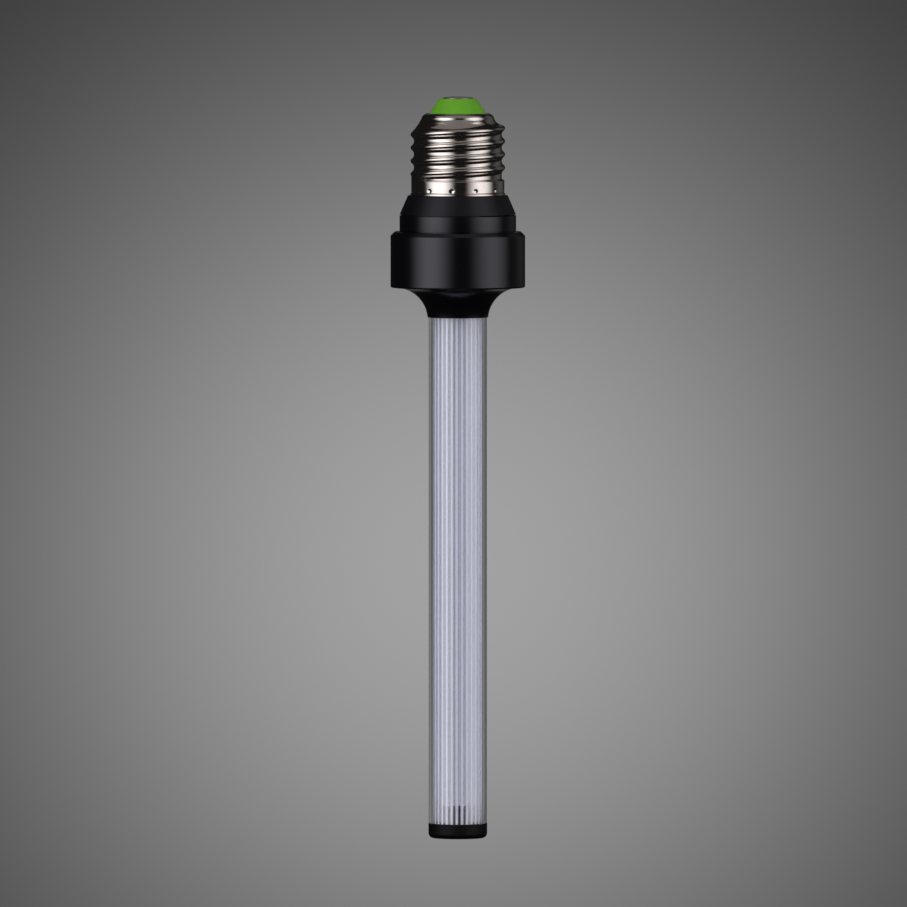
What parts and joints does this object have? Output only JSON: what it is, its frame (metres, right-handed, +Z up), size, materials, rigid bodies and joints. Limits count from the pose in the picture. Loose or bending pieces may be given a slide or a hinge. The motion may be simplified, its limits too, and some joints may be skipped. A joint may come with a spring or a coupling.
{
  "type": "decorative tube bulb",
  "caption": "Slim clear tube bulb with a fluted light guide, a black turned housing and an E27 screw cap, hung from its cap",
  "frame": {"origin": "On the axis, in the plane where the screw shell's lower edge meets the collar.", "axes": "+Z runs up the axis to the centre contact, as the bulb hangs. It is round, so +X and +Y are any two directions square to it: -Y faces the viewer of the picture."},
  "size_m": [0.037, 0.037, 0.2043],
  "materials": {
    "nickel_plate": "bright nickel plate over rolled brass sheet",
    "contact_nickel": "dull nickel plate",
    "green_insulator": "moulded green plastic, semi-gloss",
    "black_moulding": "moulded matt black plastic",
    "black_anodised": "turned, satin black anodised",
    "clear_glass": "clear drawn tube",
    "clear_acrylic": "clear extruded acrylic with flutes",
    "circuit_board": "green solder mask",
    "capacitor_sleeve": "dark shrink sleeve",
    "film_block": "dipped red-brown lacquer",
    "resistor_body": "lacquered ceramic",
    "ferrite": "sintered ferrite",
    "bobbin_plastic": "moulded plastic",
    "copper_wire": "enamelled copper",
    "chip_body": "moulded epoxy",
    "lead_red": "soft insulation",
    "lead_black": "soft insulation",
    "board_aluminium": "white-masked aluminium-cored board",
    "emitter_ceramic": "ceramic base with yellow phosphor",
    "screw_steel": "zinc-plated steel"
  },
  "bodies": {
    "root": {"screw_shell": "nickel_plate", "cap_insulator": "green_insulator", "centre_contact": "contact_nickel", "base_collar": "black_moulding", "housing": "black_anodised", "outer_tube": "clear_glass", "light_guide": "clear_acrylic", "end_cap": "black_moulding", "led_board": "board_aluminium", "led_emitter": "emitter_ceramic", "board_screws": "screw_steel", "driver_board": "circuit_board", "smoothing_capacitor": "capacitor_sleeve", "input_capacitor": "film_block", "fusible_resistor": "resistor_body", "transformer_core": "ferrite", "transformer_bobbin": "bobbin_plastic", "transformer_winding": "copper_wire", "driver_chip": "chip_body", "bridge_rectifier": "chip_body", "contact_lead": "lead_red", "shell_lead": "lead_black", "led_lead_positive": "lead_red", "led_lead_negative": "lead_black"}
  },
  "joints": []
}
